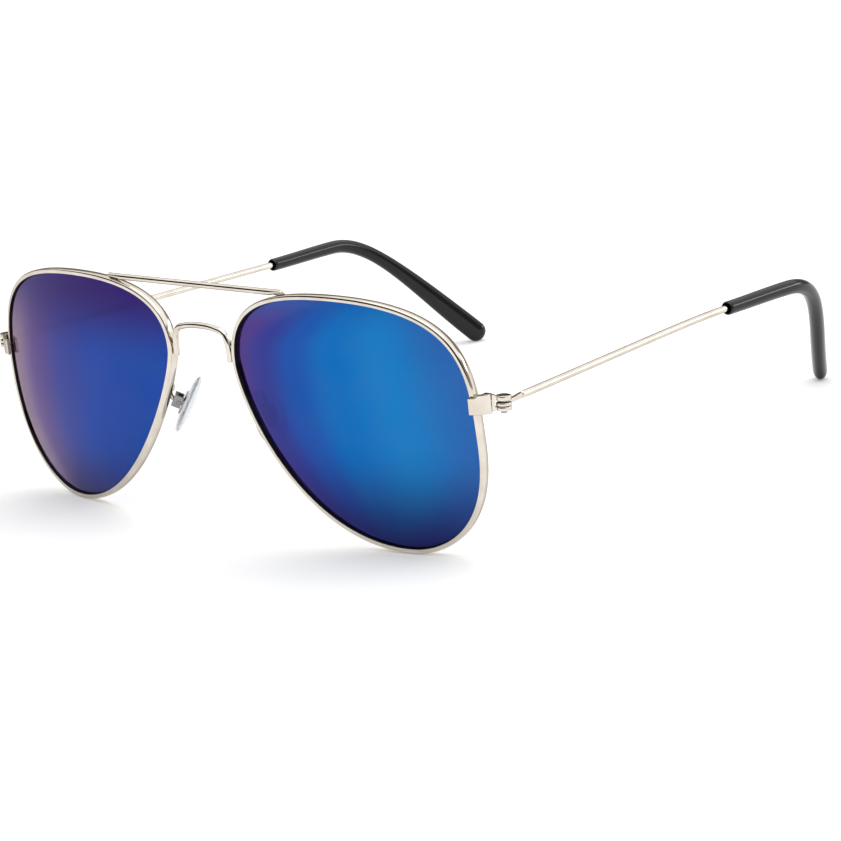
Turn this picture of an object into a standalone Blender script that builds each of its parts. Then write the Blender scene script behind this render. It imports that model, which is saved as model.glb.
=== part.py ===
"""Wire-frame aviator sunglasses, built as the separate pieces that the real frame is made of.

Metres, +Z up, front towards -Y. The glasses stand on the lower edges of both rims and on both temple tips.
The origin is on the ground, in the middle of the bounding box. "Left" is the wearer's left, which is +X.
"""

import math

import bmesh
import bpy
import numpy as np
from mathutils import Euler, Matrix, Vector

# ---------------------------------------------------------------- driving dimensions
# Lens opening of the left rim, as (x, z) extreme points and the reach of the curve's handles there.
OPENING_TOP = (0.0338, 0.0494)
OPENING_OUTER = (0.0643, 0.0231)
OPENING_BOTTOM = (0.0469, 0.00102)
OPENING_INNER = (0.0093, 0.0362)
TOP_REACH = (0.0123, 0.0301)  # towards the nose, towards the temple
OUTER_REACH = (0.0138, 0.0184)  # up, down
BOTTOM_REACH = (0.0238, 0.0054)  # towards the nose, towards the temple
INNER_REACH = (0.0106, 0.0066)  # up, down

# Curved face that both lenses follow: y at a lens's middle, its slopes and its two radii.
FACE_MIDDLE = (0.0360, 0.0260)
FACE_Y = -0.0687
FACE_WRAP = 0.101
FACE_LEAN = -0.038
FACE_RADIUS_ACROSS = 0.105
FACE_RADIUS_UP = 0.143

RIM_WIDTH = 0.0011
RIM_DEPTH = 0.0024
RIM_STATIONS = 64
GROOVE_FRONT = 0.0007
GROOVE_BACK = 0.0020
GROOVE_BOTTOM = 0.0006
RIM_EASE = 0.00025
RIM_SPLIT_Z = 0.0309
RIM_SPLIT = 0.0003
LENS_EDGE = 0.00045  # how far the lens reaches into the groove
LENS_FRONT = 0.0008
LENS_BACK = 0.0019
LENS_RINGS = 4

# Hinge: three knuckles on a screw, its axis leaning back at the top.
HINGE = Vector((0.0690, -0.0587, 0.0309))
HINGE_LEAN = math.radians(5.0)
KNUCKLE_RADIUS = 0.00145
KNUCKLE_BORE = 0.00070
UPPER_KNUCKLE = (0.00028, 0.00125)  # heights above the hinge point, along the axis
TEMPLE_KNUCKLE = (-0.00072, -0.00008)
LOWER_KNUCKLE = (-0.00160, -0.00084)
WEB_RISE = 0.00015  # the web stands this much proud of the knuckles at both ends
WEB_DEPTH = 0.0012
LUG_EASE = 0.00005
HINGE_SCREW_RADIUS = 0.00060
HINGE_HEAD_RADIUS = 0.00095
HEAD_SEAT = 0.00090
HEAD_TOP = 0.00140
SCREW_FOOT = -0.00210
SLOT_HALF_WIDTH = 0.00014
SLOT_DEPTH = 0.0002
ROUND_SIDES = 20
FITTING_SIDES = 12

# End piece: a strap that laps the rim and runs outwards and back to the hinge, at this angle to +X.
STRAP_ANGLE = math.radians(45.0)
STRAP_THICKNESS = 0.0007
STRAP_LOW = -0.0020  # heights above the hinge point
STRAP_HIGH = 0.0017
LAP_HIGH = 0.0012  # the strap is lower where it laps the rim
STRAP_OUTSIDE = -0.00042  # outer face, measured from the hinge axis towards the inside
STRAP_END = -0.0023  # along the strap, measured from the hinge axis
STRAP_CORNER = -0.0045  # where the strap meets its lap over the rim
LAP_GAP = 0.0001
FLANGE_OVERHANG = 0.0003

# Closing blocks: the rim's two ends, drawn together by a screw behind the end piece.
BLOCK_HEIGHT = 0.0013
BLOCK_GAP = 0.0003
BLOCK_TIP = -0.0029  # how far the blocks reach along the strap, measured from the hinge axis
BLOCK_CLEAR = 0.0024  # hinge axis to the blocks, so that the temple's knuckle turns free
BLOCK_SCREW_RADIUS = 0.00032
BLOCK_BORE = 0.00042
BLOCK_HEAD_RADIUS = 0.00050
BLOCK_SINK = 0.0004
BLOCK_SCREW_PLACE = (-0.0031, -0.0013)  # from the hinge axis

# Temple: wire from the hinge leaf to the ear end, with a plastic sleeve over its last part.
WIRE_RADIUS = 0.0007
WIRE_SIDES = 10
WIRE_START = Vector((0.0687, -0.0535, 0.0307))
SLEEVE_START = Vector((0.0639, 0.0163, 0.0293))
BEND_START = Vector((0.0642, 0.0366, 0.0286))
BEND_KNEE = Vector((0.0644, 0.0492, 0.0279))
BEND_SHIN = Vector((0.0571, 0.0546, 0.0163))
TIP_END = Vector((0.0484, 0.0675, 0.00065))
TIP_FLAT = Vector((0.8, 0.6, 0.0))  # across the paddle's thin way
SLEEVE_RADIUS = 0.0014  # at its mouth
SLEEVE_FULLEST = 0.00155  # at the bend, where it starts to flatten
FLATTENS_FROM = 0.45  # share of the sleeve's length
FLATTENS_OVER = 0.50
PADDLE_HALF_WIDTH = 0.0024
PADDLE_HALF_THICK = 0.0016
SLEEVE_BORE = 0.00085
TIP_SOLID = 0.0060  # length of the paddle beyond the wire's bore
WIRE_END_PLAY = 0.0005
SLEEVE_SIDES = 14
LEAF_THICK = 0.0009
LEAF_END_HEIGHT = 0.0010

# Bridge and brow bar.
BRIDGE_RADIUS = 0.00062
BRIDGE_TOP_Z = 0.0417
BRIDGE_SHOULDER = (0.0054, 0.0411)
BRIDGE_LEG = (0.00745, 0.0350)
BRIDGE_Y = -0.0673
BRIDGE_CROWN_REACH = 0.0035
BRIDGE_ELBOW = ((-0.0012, 0.0002), (0.0016, -0.0004))  # handles on either side of the shoulder
BRIDGE_LEG_REACH = 0.0042
BAR_HALF_LENGTH = 0.0240
BAR_RADIUS = 0.00062
BAR_SCARF = 0.0035  # length of the bevelled ends that rest on the rims
BAR_Y = -0.0675
BAR_Z = 0.0500

# Nose pads: each rocks on a small screw through its pad box.
PAD_PIVOT = Vector((0.0127, -0.0636, 0.0243))
PAD_SPLAY = math.radians(28.0)
PAD_RAKE = math.radians(15.0)
PAD_TURN = math.radians(40.0)
PAD_LENGTH = 0.0132
PAD_WIDTH = 0.0068
PAD_THICKNESS = 0.0020
PAD_STANDOFF = 0.0011  # pivot to the pad's back face
ARM_RADIUS = 0.00045
ARM_FOOT = Vector((0.0119, -0.0687, 0.0272))  # nearest rim station carries the arm
ARM_CREST = Vector((0.0124, -0.0652, 0.0291))
ARM_SWEEP = Vector((0.0008, 0.0010, 0.0))
ARM_LEAD = 0.0012  # straight pull of the curve where it leaves the rim
ARM_TAIL = 0.0016  # and where it meets the pad box
STEM_WIDTH = 0.0010
STEM_HOLE = 0.00042
BOX_SIZE = 0.0024
BOX_FRONT = 0.0006
BOX_WALL = 0.00055
PLATE_THICKNESS = 0.00025
PLATE_RADII = (0.0017, 0.0026)  # across the pad, along the pad
STEM_HALF_HEIGHT = 0.0006
STEM_BACK = -0.0005
PAD_SCREW_RADIUS = 0.00034
PAD_HEAD_RADIUS = 0.00060
PAD_HEAD_HEIGHT = 0.00035

SIDES = ((1, "left"), (-1, "right"))


# ---------------------------------------------------------------- materials
def finish(name, color, roughness, metallic, alpha=1.0):
    material = bpy.data.materials.new(name)
    material.use_nodes = True
    shader = material.node_tree.nodes["Principled BSDF"]
    shader.inputs["Base Color"].default_value = (*color, 1.0)
    shader.inputs["Roughness"].default_value = roughness
    shader.inputs["Metallic"].default_value = metallic
    shader.inputs["Alpha"].default_value = alpha
    material.diffuse_color = (*color, alpha)
    return material


# ---------------------------------------------------------------- curves
def cubic(start, handle_a, handle_b, end, count=48):
    """Points of one cubic curve, both ends included."""
    t = np.linspace(0.0, 1.0, count)[:, None]
    a, b, c, d = (np.array(p, float) for p in (start, handle_a, handle_b, end))
    return (1 - t) ** 3 * a + 3 * (1 - t) ** 2 * t * b + 3 * (1 - t) * t**2 * c + t**3 * d


def joined(curves):
    """Curves end to end, with the shared points kept once."""
    return np.vstack([curves[0]] + [curve[1:] for curve in curves[1:]])


def run_length(points):
    steps = np.linalg.norm(np.diff(points, axis=0), axis=1)
    return np.concatenate([[0.0], np.cumsum(steps)])


def points_at(points, distances):
    """Points of a polyline at these distances along it."""
    run = run_length(points)
    return np.stack([np.interp(distances, run, axis) for axis in points.T], axis=1)


def opening_outline():
    """The lens opening as a dense closed polyline of (x, z), starting at the rim's split."""
    across, up = np.array((1.0, 0.0)), np.array((0.0, 1.0))
    outer, bottom, inner, top = map(np.array, (OPENING_OUTER, OPENING_BOTTOM, OPENING_INNER, OPENING_TOP))
    loop = joined(
        [
            cubic(outer, outer - up * OUTER_REACH[1], bottom + across * BOTTOM_REACH[1], bottom),
            cubic(bottom, bottom - across * BOTTOM_REACH[0], inner - up * INNER_REACH[1], inner),
            cubic(inner, inner + up * INNER_REACH[0], top - across * TOP_REACH[0], top),
            cubic(top, top + across * TOP_REACH[1], outer + up * OUTER_REACH[0], outer),
        ]
    )[:-1]
    outside = loop[:, 0] > OPENING_OUTER[0] - RIM_DEPTH
    split = np.argmin(np.where(outside, np.abs(loop[:, 1] - RIM_SPLIT_Z), np.inf))
    started = np.roll(loop, -split, axis=0)
    return np.vstack([started, started[:1]])


def face_y(x, z):
    """Y of the curved face that carries the rims and the lenses."""
    across, up = x - FACE_MIDDLE[0], z - FACE_MIDDLE[1]
    bow = across**2 / (2 * FACE_RADIUS_ACROSS) + up**2 / (2 * FACE_RADIUS_UP)
    return FACE_Y + FACE_WRAP * across + FACE_LEAN * up + bow


def face_normal(x, z):
    """Unit normal of the curved face, pointing back towards the wearer."""
    across, up = x - FACE_MIDDLE[0], z - FACE_MIDDLE[1]
    slope_x = FACE_WRAP + across / FACE_RADIUS_ACROSS
    slope_z = FACE_LEAN + up / FACE_RADIUS_UP
    return Vector((-slope_x, 1.0, -slope_z)).normalized()


def on_face(x, z, depth):
    return Vector((x, face_y(x, z), z)) + face_normal(x, z) * depth


# ---------------------------------------------------------------- meshes
def skin(bm, rings):
    """Quads between rings of equal size, with the two ends capped."""
    rows = [[bm.verts.new(point) for point in ring] for ring in rings]
    sides = len(rows[0])
    for first, second in zip(rows, rows[1:]):
        for i in range(sides):
            j = (i + 1) % sides
            bm.faces.new((first[i], first[j], second[j], second[i]))
    bm.faces.new(rows[0])
    bm.faces.new(list(reversed(rows[-1])))


def circle(center, across, up, radius_across, radius_up, sides):
    return [
        center
        + across * (radius_across * math.cos(math.tau * i / sides))
        + up * (radius_up * math.sin(math.tau * i / sides))
        for i in range(sides)
    ]


def path_frames(points, lateral):
    """(point, tangent, across, up) along a path, with across as near to lateral as the path allows."""
    frames = []
    for i, point in enumerate(points):
        before, after = points[max(i - 1, 0)], points[min(i + 1, len(points) - 1)]
        tangent = Vector(after - before).normalized()
        across = (lateral - tangent * lateral.dot(tangent)).normalized()
        frames.append((Vector(point), tangent, across, tangent.cross(across)))
    return frames


def tube(bm, points, radius, lateral, sides):
    rings = []
    for point, _, across, up in path_frames(points, lateral):
        rings.append(circle(point, across, up, radius, radius, sides))
    skin(bm, rings)


def turned(bm, profile, sides=ROUND_SIDES):
    """A rod turned about local Z, from its (radius, z) outline, bottom to top."""
    across, up = Vector((1, 0, 0)), Vector((0, 1, 0))
    skin(bm, [circle(Vector((0, 0, z)), across, up, radius, radius, sides) for radius, z in profile])


def prism(bm, outline, low, high):
    """A plan outline of (x, y) points raised from low to high."""
    skin(bm, [[Vector((x, y, z)) for x, y in outline] for z in (low, high)])


def block(bm, low, high):
    outline = ((low[0], low[1]), (high[0], low[1]), (high[0], high[1]), (low[0], high[1]))
    prism(bm, outline, low[2], high[2])


def add_part(name, bm, material, side=1, pivot=None, place=None, bevel=0.0):
    """One named object from a mesh made for the left side, mirrored for the right one."""
    if place is not None:
        bm.transform(place)
    if side < 0:
        bm.transform(Matrix.Scale(-1, 4, Vector((1, 0, 0))))
    bmesh.ops.recalc_face_normals(bm, faces=bm.faces)
    mesh = bpy.data.meshes.new(name)
    bm.to_mesh(mesh)
    bm.free()
    mesh.shade_smooth()
    mesh.set_sharp_from_angle(angle=math.radians(35))
    mesh.materials.append(material)
    part = bpy.data.objects.new(name, mesh)
    bpy.context.scene.collection.objects.link(part)
    if pivot is not None:
        part.parent = pivot
        part.matrix_parent_inverse = pivot.matrix_basis.inverted()
    if bevel:
        rounding = part.modifiers.new("Rounded edges", "BEVEL")
        rounding.width = bevel
        rounding.segments = 1
        rounding.limit_method = "ANGLE"
    return part


def add_cutter(name, bm, side=1, place=None):
    cutter = add_part(name, bm, finish(name, (0.5, 0.5, 0.5), 0.5, 0.0), side, place=place)
    cutter.hide_render = True
    cutter.display_type = "WIRE"
    return cutter


def combine(part, other, operation):
    modifier = part.modifiers.new(operation.title(), "BOOLEAN")
    modifier.operation = operation
    modifier.object = other
    modifier.solver = "EXACT"


def add_pivot(name, location, lean, side):
    """An empty on a joint's axis, with its Z along the axis."""
    pivot = bpy.data.objects.new(name, None)
    pivot.empty_display_size = 0.005
    pivot.location = (side * location.x, location.y, location.z)
    pivot.rotation_euler = (-lean, 0.0, 0.0)
    bpy.context.scene.collection.objects.link(pivot)
    return pivot


# ---------------------------------------------------------------- rims and lenses
def rim_profile():
    """The rim's section as (outwards, depth), a channel open towards the lens."""
    width, depth, ease = RIM_WIDTH, RIM_DEPTH, RIM_EASE
    return (
        (0.0, ease / 2),
        (ease / 2, 0.0),
        (width - ease, 0.0),
        (width, ease),
        (width, depth - ease),
        (width - ease, depth),
        (ease / 2, depth),
        (0.0, depth - ease / 2),
        (0.0, GROOVE_BACK),
        (GROOVE_BOTTOM, GROOVE_BACK),
        (GROOVE_BOTTOM, GROOVE_FRONT),
        (0.0, GROOVE_FRONT),
    )


def rim_stations():
    """(point, outward, back) at each station round the opening, from one side of the split to the other."""
    outline = opening_outline()
    length = run_length(outline)[-1]
    distances = np.linspace(0.0, length, RIM_STATIONS + 1)
    distances[0], distances[-1] = RIM_SPLIT / 2, length - RIM_SPLIT / 2
    stations = []
    for distance in distances:
        around = [distance, (distance - RIM_SPLIT) % length, (distance + RIM_SPLIT) % length]
        (x, z), (x0, z0), (x1, z1) = points_at(outline, around)
        back = face_normal(x, z)
        tangent = Vector((x1 - x0, face_y(x1, z1) - face_y(x0, z0), z1 - z0)).normalized()
        stations.append((Vector((x, face_y(x, z), z)), tangent.cross(back).normalized(), back))
    return stations


def make_rim(name, side, material):
    bm = bmesh.new()
    rings = [
        [point + outward * out + back * depth for out, depth in rim_profile()]
        for point, outward, back in rim_stations()
    ]
    skin(bm, rings)
    return add_part(name, bm, material, side)


def make_lens(name, side, material):
    """A curved sheet whose edge sits in the rim's groove."""
    bm = bmesh.new()
    edge = [point + outward * LENS_EDGE for point, outward, _ in rim_stations()[:-1]]
    middle = Vector((FACE_MIDDLE[0], 0.0, FACE_MIDDLE[1]))
    rows = {}
    for depth in (LENS_FRONT, LENS_BACK):
        rows[depth] = [
            [
                bm.verts.new(on_face(*(middle.lerp(point, k / LENS_RINGS)).xz, depth))
                for point in edge
            ]
            for k in range(LENS_RINGS, 0, -1)
        ]
        for outer, inner in zip(rows[depth], rows[depth][1:]):
            for i, start in enumerate(outer):
                j = (i + 1) % len(outer)
                bm.faces.new((start, outer[j], inner[j], inner[i]))
        hub = bm.verts.new(on_face(*middle.xz, depth))
        last = rows[depth][-1]
        for i, start in enumerate(last):
            bm.faces.new((start, last[(i + 1) % len(last)], hub))
    front, back = rows[LENS_FRONT][0], rows[LENS_BACK][0]
    for i, start in enumerate(front):
        j = (i + 1) % len(front)
        bm.faces.new((start, front[j], back[j], back[i]))
    return add_part(name, bm, material, side)


# ---------------------------------------------------------------- end pieces, closing blocks and hinges
def strap_point(along, inwards):
    """A plan point measured along the strap from the hinge axis, and from the axis towards the inside."""
    cos, sin = math.cos(STRAP_ANGLE), math.sin(STRAP_ANGLE)
    return (HINGE.x + along * cos - inwards * sin, HINGE.y + along * sin + inwards * cos)


def rim_side(depth, out=RIM_WIDTH):
    """A plan point on the rim at the split, this far outwards and back."""
    point, outward, back = rim_stations()[0]
    spot = point + outward * out + back * depth
    return (spot.x, spot.y)


def make_end_piece(name, side, material):
    """Laps the rim's front face, turns its outer edge and runs back to the hinge."""
    lap_inner = rim_side(-LAP_GAP, -FLANGE_OVERHANG)
    lap_corner = rim_side(-LAP_GAP, RIM_WIDTH + LAP_GAP)
    front_inner = rim_side(-LAP_GAP - STRAP_THICKNESS, -FLANGE_OVERHANG)
    corner = strap_point(STRAP_CORNER, STRAP_OUTSIDE)
    inside = STRAP_OUTSIDE + STRAP_THICKNESS
    outline = (
        (front_inner, LAP_HIGH),
        (rim_side(-LAP_GAP - STRAP_THICKNESS, RIM_WIDTH), LAP_HIGH),
        (corner, STRAP_HIGH),
        (strap_point(STRAP_END, STRAP_OUTSIDE), STRAP_HIGH),
        (strap_point(STRAP_END, inside), STRAP_HIGH),
        (strap_point(STRAP_CORNER - LAP_GAP, inside), STRAP_HIGH),
        (lap_corner, LAP_HIGH),
        (lap_inner, LAP_HIGH),
    )
    bm = bmesh.new()
    low = [Vector((x, y, HINGE.z + STRAP_LOW)) for (x, y), _ in outline]
    high = [Vector((x, y, HINGE.z + top)) for (x, y), top in outline]
    skin(bm, (low, high))
    return add_part(name, bm, material, side)


def block_outline():
    outside = STRAP_OUTSIDE + STRAP_THICKNESS + 2 * LAP_GAP
    face_x, face_y_front = rim_side(3 * LAP_GAP, RIM_WIDTH + 2 * LAP_GAP)
    return (
        (face_x, face_y_front),
        strap_point(STRAP_CORNER, outside),
        strap_point(BLOCK_TIP, outside),
        (HINGE.x - BLOCK_CLEAR, HINGE.y - LAP_GAP * 4),
        (face_x, HINGE.y - LAP_GAP * 4),
    )


def block_screw_place():
    right, back = BLOCK_SCREW_PLACE
    return Matrix.Translation((HINGE.x + right, HINGE.y + back, HINGE.z))


def make_closing_block(name, side, material, upper):
    """One of the two blocks brazed to the rim's ends, with the closing screw's hole."""
    bm = bmesh.new()
    near, far = BLOCK_GAP / 2, BLOCK_GAP / 2 + BLOCK_HEIGHT
    low, high = (near, far) if upper else (-far, -near)
    prism(bm, block_outline(), HINGE.z + low, HINGE.z + high)
    part = add_part(name, bm, material, side)
    hole = bmesh.new()
    reach = 2 * BLOCK_HEIGHT
    sink = far - BLOCK_SINK if upper else reach
    head = BLOCK_HEAD_RADIUS + LAP_GAP
    turned(hole, ((BLOCK_BORE, -reach), (BLOCK_BORE, sink), (head, sink), (head, sink + reach)))
    combine(part, add_cutter(f"{name}_hole", hole, side, block_screw_place()), "DIFFERENCE")
    return part


def make_block_screw(name, side, material):
    bm = bmesh.new()
    far = BLOCK_GAP / 2 + BLOCK_HEIGHT
    seat = far - BLOCK_SINK + LAP_GAP / 2
    turned(
        bm,
        (
            (BLOCK_SCREW_RADIUS, -far),
            (BLOCK_SCREW_RADIUS, seat),
            (BLOCK_HEAD_RADIUS, seat),
            (BLOCK_HEAD_RADIUS, far),
        ),
    )
    return add_part(name, bm, material, side, place=block_screw_place())


def hinge_place():
    return Matrix.Translation(HINGE) @ Euler((-HINGE_LEAN, 0, 0)).to_matrix().to_4x4()


def plan_box(bm, along, inwards, low, high):
    """A box laid along the strap's direction, in the hinge's own frame."""
    cos, sin = math.cos(STRAP_ANGLE), math.sin(STRAP_ANGLE)
    outline = [
        (t * cos - o * sin, t * sin + o * cos)
        for t, o in (
            (along[0], inwards[0]),
            (along[1], inwards[0]),
            (along[1], inwards[1]),
            (along[0], inwards[1]),
        )
    ]
    prism(bm, outline, low, high)


def make_front_hinge(name, side, material):
    """The upper and lower knuckles on their common web, brazed to the end of the strap."""
    web = (STRAP_END + 2 * LAP_GAP, -KNUCKLE_RADIUS - 1.5 * LAP_GAP)
    inwards = (STRAP_OUTSIDE, STRAP_OUTSIDE + WEB_DEPTH)
    bottom, top = LOWER_KNUCKLE[0] - WEB_RISE, UPPER_KNUCKLE[1] + WEB_RISE
    bm = bmesh.new()
    plan_box(bm, web, inwards, bottom, top)
    part = add_part(name, bm, material, side, place=hinge_place())
    for label, (low, high) in (("upper", UPPER_KNUCKLE), ("lower", LOWER_KNUCKLE)):
        knuckle = bmesh.new()
        turned(knuckle, ((KNUCKLE_RADIUS, low), (KNUCKLE_RADIUS, high)))
        combine(part, add_cutter(f"{name}_{label}", knuckle, side, hinge_place()), "UNION")
        lug = bmesh.new()
        along = (web[0] + LUG_EASE, 0.0)
        across = (inwards[0] + LUG_EASE, inwards[1] - LUG_EASE)
        plan_box(lug, along, across, low + LUG_EASE, high - LUG_EASE)
        combine(part, add_cutter(f"{name}_{label}_lug", lug, side, hinge_place()), "UNION")
    bore = bmesh.new()
    reach = 2 * (top - bottom)
    head = HINGE_HEAD_RADIUS + LAP_GAP
    turned(bore, ((KNUCKLE_BORE, -reach), (KNUCKLE_BORE, HEAD_SEAT), (head, HEAD_SEAT), (head, reach)))
    combine(part, add_cutter(f"{name}_bore", bore, side, hinge_place()), "DIFFERENCE")
    return part


def make_temple_hinge(name, side, material, pivot):
    """The middle knuckle and the slim leaf that the temple wire is brazed to."""
    low, high = TEMPLE_KNUCKLE
    bm = bmesh.new()
    turned(bm, ((KNUCKLE_RADIUS, low), (KNUCKLE_RADIUS, high)))
    part = add_part(name, bm, material, side, pivot, hinge_place())
    leaf = bmesh.new()
    end = hinge_place().inverted() @ WIRE_START - Vector((0.0, 2 * LAP_GAP, 0.0))
    across = Vector((LEAF_THICK / 2, 0.0, 0.0))
    rings = []
    for spot, height in (
        (Vector((0.0, 0.0, (low + high) / 2)), high - low - LAP_GAP),
        (end, LEAF_END_HEIGHT),
    ):
        up = Vector((0.0, 0.0, height / 2))
        rings.append([spot - across - up, spot + across - up, spot + across + up, spot - across + up])
    skin(leaf, rings)
    combine(part, add_cutter(f"{name}_leaf", leaf, side, hinge_place()), "UNION")
    bore = bmesh.new()
    reach = 2 * (high - low)
    turned(bore, ((KNUCKLE_BORE, -reach), (KNUCKLE_BORE, reach)))
    combine(part, add_cutter(f"{name}_bore", bore, side, hinge_place()), "DIFFERENCE")
    return part


def make_hinge_screw(name, side, material):
    bm = bmesh.new()
    seat = HEAD_SEAT + LAP_GAP / 2
    turned(
        bm,
        (
            (HINGE_SCREW_RADIUS, SCREW_FOOT),
            (HINGE_SCREW_RADIUS, seat),
            (HINGE_HEAD_RADIUS, seat),
            (HINGE_HEAD_RADIUS, UPPER_KNUCKLE[1]),
            (HINGE_HEAD_RADIUS * 0.75, HEAD_TOP),
        ),
    )
    part = add_part(name, bm, material, side, place=hinge_place())
    slot = bmesh.new()
    reach = 2 * HINGE_HEAD_RADIUS
    corner = (reach, SLOT_HALF_WIDTH, HEAD_TOP + reach)
    block(slot, (-reach, -SLOT_HALF_WIDTH, HEAD_TOP - SLOT_DEPTH), corner)
    combine(part, add_cutter(f"{name}_slot", slot, side, hinge_place()), "DIFFERENCE")
    return part


# ---------------------------------------------------------------- temples
def temple_path():
    """The wire's centre line, from the hinge leaf to the end of the tip."""
    settle = (BEND_KNEE - BEND_START) * 0.9
    early, late = WIRE_START.lerp(SLEEVE_START, 0.4), SLEEVE_START - settle * 0.9
    straight = cubic(WIRE_START, early, late, SLEEVE_START)
    level = cubic(SLEEVE_START, SLEEVE_START + settle * 0.5, BEND_START - settle * 0.6, BEND_START)
    bend = cubic(BEND_START, BEND_KNEE, BEND_SHIN, TIP_END)
    return joined([straight, level, bend])


def make_temple_wire(name, side, material, pivot):
    path = temple_path()
    run = run_length(path)
    sleeve = run[np.argmin(np.abs(path - np.array(SLEEVE_START)).sum(axis=1))]
    hidden_end = run[-1] - TIP_SOLID - WIRE_END_PLAY
    stations = np.concatenate([np.linspace(0.0, sleeve, 8)[:-1], np.linspace(sleeve, hidden_end, 20)])
    bm = bmesh.new()
    tube(bm, points_at(path, stations), WIRE_RADIUS, Vector((1, 0, 0)), WIRE_SIDES)
    return add_part(name, bm, material, side, pivot)


def sleeve_section(share):
    """Half thickness and half width of the sleeve at this share of its length."""
    radius = SLEEVE_RADIUS + (SLEEVE_FULLEST - SLEEVE_RADIUS) * min(share / FLATTENS_FROM, 1.0)
    swell = min(max((share - FLATTENS_FROM) / FLATTENS_OVER, 0.0), 1.0)
    swell = swell * swell * (3 - 2 * swell)
    thick = radius + (PADDLE_HALF_THICK - radius) * swell
    return thick, radius + (PADDLE_HALF_WIDTH - radius) * swell


def make_temple_tip(name, side, material, pivot):
    """A plastic sleeve over the wire's end: open at its mouth, flattened and rounded at the ear end."""
    path = temple_path()
    run = run_length(path)
    start = run[np.argmin(np.abs(path - np.array(SLEEVE_START)).sum(axis=1))]
    length = run[-1] - start
    nose = PADDLE_HALF_WIDTH
    body = np.linspace(start, run[-1] - nose, 20)
    angles = np.linspace(0.0, math.pi / 2, 6)[1:]
    cap = run[-1] - nose + nose * np.sin(angles)
    shrink = np.concatenate([np.ones(len(body)), np.cos(angles).clip(0.12)])
    stations = np.concatenate([body, cap])
    rings = []
    for (point, _, across, up), distance, scale in zip(
        path_frames(points_at(path, stations), TIP_FLAT), stations, shrink
    ):
        thick, wide = sleeve_section((distance - start) / length)
        rings.append(circle(point, across, up, thick * scale, wide * scale, SLEEVE_SIDES))
    bore_stations = np.linspace(run[-1] - TIP_SOLID, start, 20)
    for point, _, across, up in reversed(path_frames(points_at(path, bore_stations[::-1]), TIP_FLAT)):
        rings.append(circle(point, across, up, SLEEVE_BORE, SLEEVE_BORE, SLEEVE_SIDES))
    bm = bmesh.new()
    outer_count = len(stations)
    skin(bm, rings[:outer_count][::-1] + rings[outer_count:][::-1])
    return add_part(name, bm, material, side, pivot)


# ---------------------------------------------------------------- bridge and brow bar
def make_bridge(name, material):
    """An arched wire whose legs run down the rims' nose sides."""
    across, up = np.array((1.0, 0.0)), np.array((0.0, 1.0))
    shoulder, leg, top = np.array(BRIDGE_SHOULDER), np.array(BRIDGE_LEG), up * BRIDGE_TOP_Z
    before, after = np.array(BRIDGE_ELBOW)
    half = joined(
        [
            cubic(top, top + across * BRIDGE_CROWN_REACH, shoulder + before, shoulder, 5),
            cubic(shoulder, shoulder + after, leg + up * BRIDGE_LEG_REACH, leg, 9),
        ]
    )
    mirrored = half[::-1] * np.array([-1.0, 1.0])
    arch = joined([mirrored, half])
    path = np.stack([arch[:, 0], np.full(len(arch), BRIDGE_Y), arch[:, 1]], axis=1)
    bm = bmesh.new()
    tube(bm, path, BRIDGE_RADIUS, Vector((0, 1, 0)), FITTING_SIDES)
    return add_part(name, bm, material)


def make_brow_bar(name, material):
    """A straight rod across the tops of both rims."""
    bm = bmesh.new()
    shoulder = BAR_HALF_LENGTH - BAR_SCARF
    back, up = Vector((0, 1, 0)), Vector((0, 0, 1))
    rings = []
    for x, share in ((-BAR_HALF_LENGTH, 0.5), (-shoulder, 1.0), (shoulder, 1.0), (BAR_HALF_LENGTH, 0.5)):
        height = BAR_RADIUS * share
        center = Vector((x, BAR_Y, BAR_Z + BAR_RADIUS - height))
        rings.append(circle(center, back, up, BAR_RADIUS, height, 16))
    skin(bm, rings)
    return add_part(name, bm, material)


# ---------------------------------------------------------------- nose pads
def pad_axes():
    """Unit axes of a left nose pad: down its length, towards the nose, and across its width."""
    down = Vector((math.tan(PAD_SPLAY), -math.tan(PAD_RAKE), -1.0)).normalized()
    nose = Vector((-math.cos(PAD_TURN), math.sin(PAD_TURN), 0.0))
    nose = (nose - down * nose.dot(down)).normalized()
    return down, nose, down.cross(nose)


def pad_place():
    """Local X across the pad, Y towards the nose, Z up its length, from the rocking axis."""
    down, nose, across = pad_axes()
    axes = Matrix((across, nose, -down)).transposed().to_4x4()
    return Matrix.Translation(PAD_PIVOT) @ axes


def screw_turn():
    """Turns local Z onto the rocking axis."""
    return pad_place() @ Matrix.Rotation(math.radians(90), 4, "Y")


def make_pad_arm(name, side, material):
    """A wire that leaves the rim's back, loops up and comes down to the pad box."""
    point, outward, back = min(rim_stations(), key=lambda s: (s[0] - ARM_FOOT).length)
    start = point + outward * (RIM_WIDTH * 0.45) + back * (RIM_DEPTH + LAP_GAP)
    _, nose, _ = pad_axes()
    end = PAD_PIVOT - nose * (BOX_SIZE / 2 + 1.5 * LAP_GAP)
    first = cubic(start, start + back * ARM_LEAD, ARM_CREST - ARM_SWEEP, ARM_CREST, 8)
    second = cubic(ARM_CREST, ARM_CREST + ARM_SWEEP, end - nose * ARM_TAIL, end, 8)
    loop = joined([first, second])
    bm = bmesh.new()
    tube(bm, loop, ARM_RADIUS, Vector((1, 0, 0)), 8)
    return add_part(name, bm, material, side)


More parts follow.
